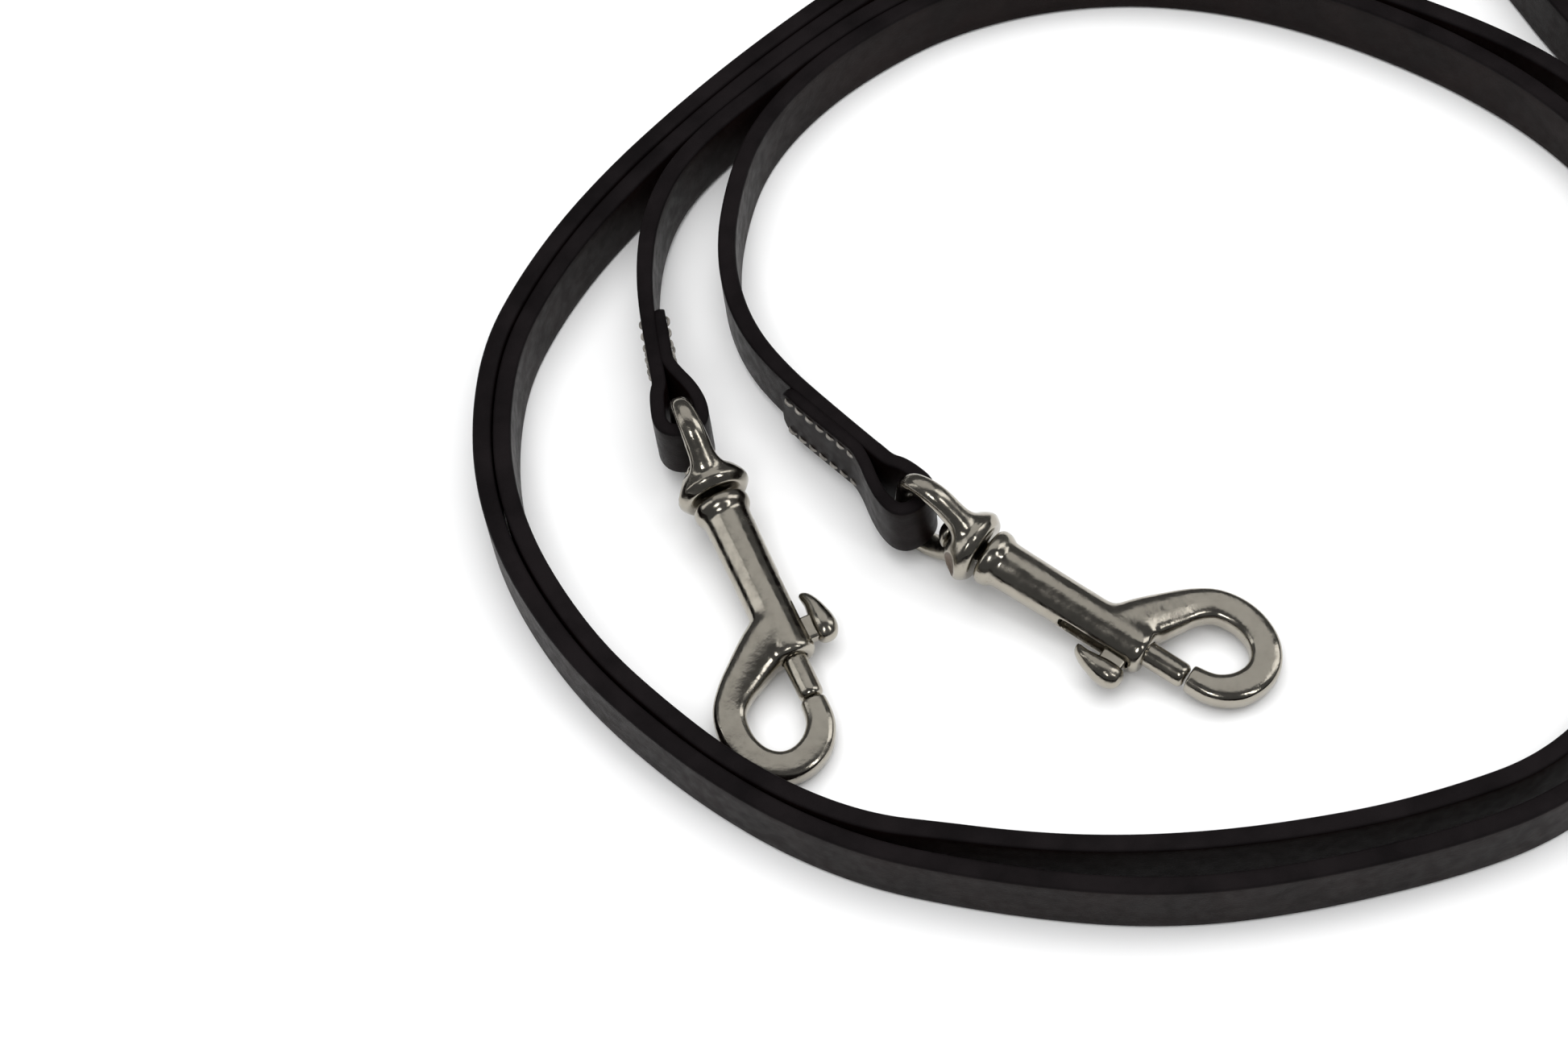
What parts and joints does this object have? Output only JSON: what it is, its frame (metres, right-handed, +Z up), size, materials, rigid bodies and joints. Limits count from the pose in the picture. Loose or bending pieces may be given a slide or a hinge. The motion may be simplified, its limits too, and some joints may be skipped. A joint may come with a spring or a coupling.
{
  "type": "leather reins",
  "caption": "Closed riding reins: one narrow flat leather strap coiled on edge, each end sewn round the eye of a nickel swivel bolt snap.",
  "frame": {"origin": "on the table under the middle of the coiled strap's box", "axes": "+Z up, +X across the coil towards the strap's fold, +Y away from the snaps' hooks"},
  "size_m": [0.3249, 0.2159, 0.0215],
  "materials": {
    "leather": "very dark brown bridle leather, burnished black edges",
    "thread": "waxed grey thread",
    "nickel_plate": "warm nickel plate over a die casting",
    "spring_steel": "bright spring wire"
  },
  "bodies": {
    "leather": {"rein_a": "leather", "rein_b": "leather", "end_loop_a": "leather", "end_loop_b": "leather", "stitching_a": "thread", "stitching_b": "thread"},
    "eye_a": {"swivel_eye_a": "nickel_plate"},
    "snap_a": {"snap_body_a": "nickel_plate", "swivel_rivet_a": "nickel_plate", "bolt_spring_a": "spring_steel"},
    "bolt_a": {"bolt_a": "nickel_plate", "thumb_lug_a": "nickel_plate"},
    "eye_b": {"swivel_eye_b": "nickel_plate"},
    "snap_b": {"snap_body_b": "nickel_plate", "swivel_rivet_b": "nickel_plate", "bolt_spring_b": "spring_steel"},
    "bolt_b": {"bolt_b": "nickel_plate", "thumb_lug_b": "nickel_plate"}
  },
  "joints": [
    {"name": "eye_rock_a", "type": "hinge", "parent": "leather", "child": "eye_a", "pos_m": [-0.12625, -0.00383, 0.01123], "axis": [0.0339, -0.1207, 0.9921], "range_deg": [0, 20]},
    {"name": "swivel_a", "type": "hinge", "parent": "eye_a", "child": "snap_a", "pos_m": [-0.1219, -0.0193, 0.0092], "axis": [0.2685, -0.9551, -0.1253], "continuous": true},
    {"name": "bolt_slide_a", "type": "slide", "parent": "snap_a", "child": "bolt_a", "axis": [-0.2685, 0.9551, 0.1253], "range_m": [0, 0.008], "stiffness_N_per_m": 300, "springref_m": -0.004, "deforming": ["bolt_spring_a"]},
    {"name": "eye_rock_b", "type": "hinge", "parent": "leather", "child": "eye_b", "pos_m": [-0.09073, -0.02692, 0.01123], "axis": [0.0923, -0.0848, 0.9921], "range_deg": [-12, 45]},
    {"name": "swivel_b", "type": "hinge", "parent": "eye_b", "child": "snap_b", "pos_m": [-0.0789, -0.0378, 0.0092], "axis": [0.7303, -0.6715, -0.1253], "continuous": true},
    {"name": "bolt_slide_b", "type": "slide", "parent": "snap_b", "child": "bolt_b", "axis": [-0.7303, 0.6715, 0.1253], "range_m": [0, 0.008], "stiffness_N_per_m": 300, "springref_m": -0.004, "deforming": ["bolt_spring_b"]}
  ]
}
